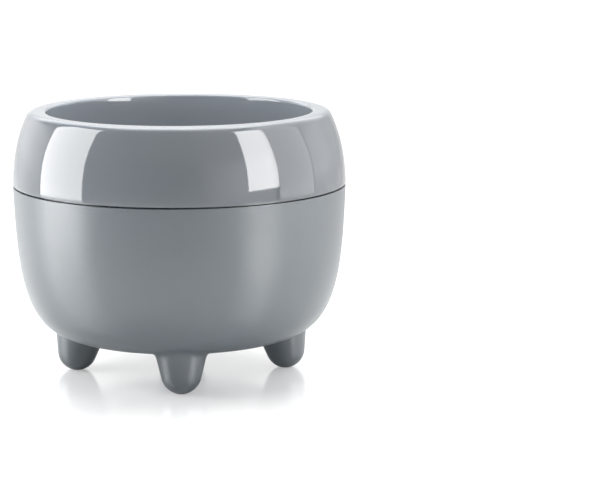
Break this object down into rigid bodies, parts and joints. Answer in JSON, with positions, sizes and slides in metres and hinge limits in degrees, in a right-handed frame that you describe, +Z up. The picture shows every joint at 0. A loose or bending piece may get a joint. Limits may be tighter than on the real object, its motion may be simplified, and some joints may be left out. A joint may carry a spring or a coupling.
{
  "type": "self-watering planter",
  "caption": "Round footed plant pot with a water reservoir, a lift-out planting pot with a wide rim band, fleece wicks and a float gauge in a filling shaft.",
  "frame": {"origin": "on the planter's axis, on the surface that the feet stand on", "axes": "+Z up along the pot's axis; -Y towards the filling shaft and the float gauge, and one foot stands on each of -Y, +X, +Y and -X"},
  "size_m": [0.2002, 0.2002, 0.159],
  "materials": {
    "matte_grey": "fine satin matt",
    "gloss_grey": "high gloss",
    "fleece": "needled fleece",
    "dark_plastic": "moulded, fine texture",
    "white_float": "moulded foam",
    "white_rod": "smooth",
    "red_marker": "smooth",
    "clear_plastic": "clear",
    "black_rubber": "matt"
  },
  "bodies": {
    "outer_pot": {"outer_pot": "matte_grey"},
    "inner_pot": {"inner_pot": "gloss_grey", "wick_back_right": "fleece", "wick_back_left": "fleece", "wick_front_left": "fleece", "wick_front_right": "fleece"},
    "gauge": {"gauge_guide": "dark_plastic", "gauge_window": "clear_plastic"},
    "float": {"gauge_float": "white_float", "gauge_rod": "white_rod", "gauge_marker": "red_marker"},
    "filler_lid": {"filler_lid": "dark_plastic"},
    "drain_plug": {"drain_plug": "black_rubber"}
  },
  "joints": [
    {"name": "inner_pot_lift", "type": "slide", "parent": "outer_pot", "child": "inner_pot", "axis": [0, 0, 1], "range_m": [0, 0.12]},
    {"name": "gauge_lift", "type": "slide", "parent": "inner_pot", "child": "gauge", "axis": [0, 0, 1], "range_m": [0, 0.105]},
    {"name": "float_travel", "type": "slide", "parent": "gauge", "child": "float", "axis": [0, 0, 1], "range_m": [0, 0.016]},
    {"name": "filler_lid_lift", "type": "slide", "parent": "gauge", "child": "filler_lid", "axis": [0, 0, 1], "range_m": [0, 0.02]},
    {"name": "drain_plug_pull", "type": "slide", "parent": "outer_pot", "child": "drain_plug", "axis": [0, 0, -1], "range_m": [0, 0.012]}
  ]
}
